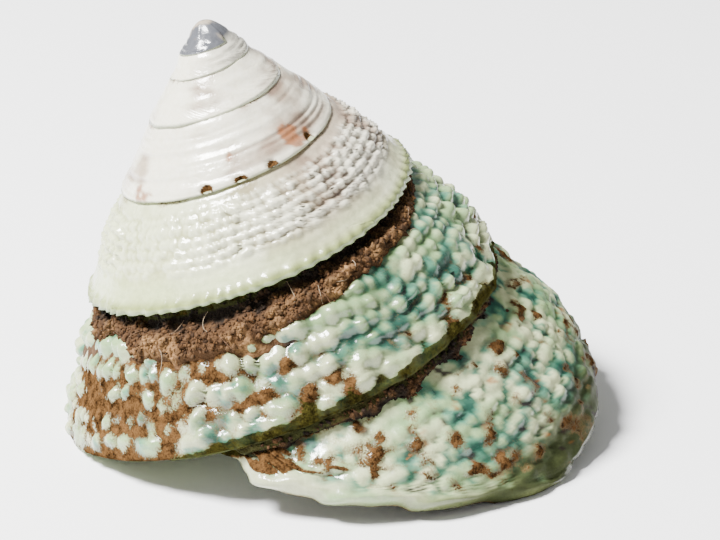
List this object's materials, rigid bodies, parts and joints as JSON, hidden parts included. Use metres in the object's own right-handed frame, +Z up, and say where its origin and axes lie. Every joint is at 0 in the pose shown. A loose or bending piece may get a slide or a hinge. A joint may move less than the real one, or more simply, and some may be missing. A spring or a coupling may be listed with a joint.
{
  "type": "top shell",
  "caption": "Right-handed cone-shaped sea snail shell with beaded turns, a thin slanted lip, an open coiled hollow, and soil packed in its seam.",
  "frame": {"origin": "centre of the bounding box, on the surface that the shell lies on", "axes": "+Z up from the surface it lies on; -Y towards the viewer of the picture, with the lip low in front; +X to the right"},
  "size_m": [0.0484, 0.0488, 0.0375],
  "materials": {
    "shell": "worn mother-of-pearl at the tip, pale green glazed knobs below",
    "soil": "dry, crumbly and matt"
  },
  "bodies": {
    "root": {"shell": "shell", "suture_soil": "soil"}
  },
  "joints": []
}
